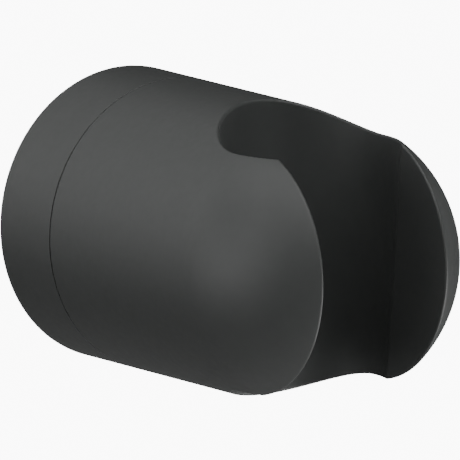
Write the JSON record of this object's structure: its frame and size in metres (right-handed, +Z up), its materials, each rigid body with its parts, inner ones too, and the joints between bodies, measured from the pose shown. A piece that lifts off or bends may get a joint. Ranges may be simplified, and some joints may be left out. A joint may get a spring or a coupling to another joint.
{
  "type": "hand shower holder",
  "caption": "Wall-mounted swivel holder for a hand shower: a round body with a domed front, a tapered upright seat for the hose nut and a front slot for the hose.",
  "frame": {"origin": "centre of the rear face, which lies on the wall", "axes": "+X out of the wall along the round body's axis, +Z up along the seat, +Y completes the right-handed frame"},
  "size_m": [0.0644, 0.042, 0.042],
  "materials": {
    "black_coat": "matt black powder coat",
    "zinc": "cast, tumbled",
    "stainless": "machined",
    "brass": "machined, knurled",
    "bearing_plastic": "moulded acetal",
    "black_rubber": "matt"
  },
  "bodies": {
    "wall_base": {"wall_bracket": "zinc", "wall_gasket": "black_rubber", "base_sleeve": "black_coat", "grub_screw": "stainless", "pivot_bush": "bearing_plastic", "friction_ring": "black_rubber", "seam_seal": "black_rubber", "stop_pin": "stainless"},
    "holder": {"holder_body": "black_coat", "swivel_plate": "zinc", "plate_seal": "black_rubber", "plate_screws": "stainless", "locating_dowel": "stainless", "threaded_insert": "brass", "pivot_bolt": "stainless", "key_washer": "stainless", "disc_spring_rear": "stainless", "disc_spring_front": "stainless"}
  },
  "joints": [
    {"name": "holder_swivel", "type": "hinge", "parent": "wall_base", "child": "holder", "pos_m": [0.0123, 0, 0], "axis": [1, 0, 0], "range_deg": [-45, 45]}
  ]
}
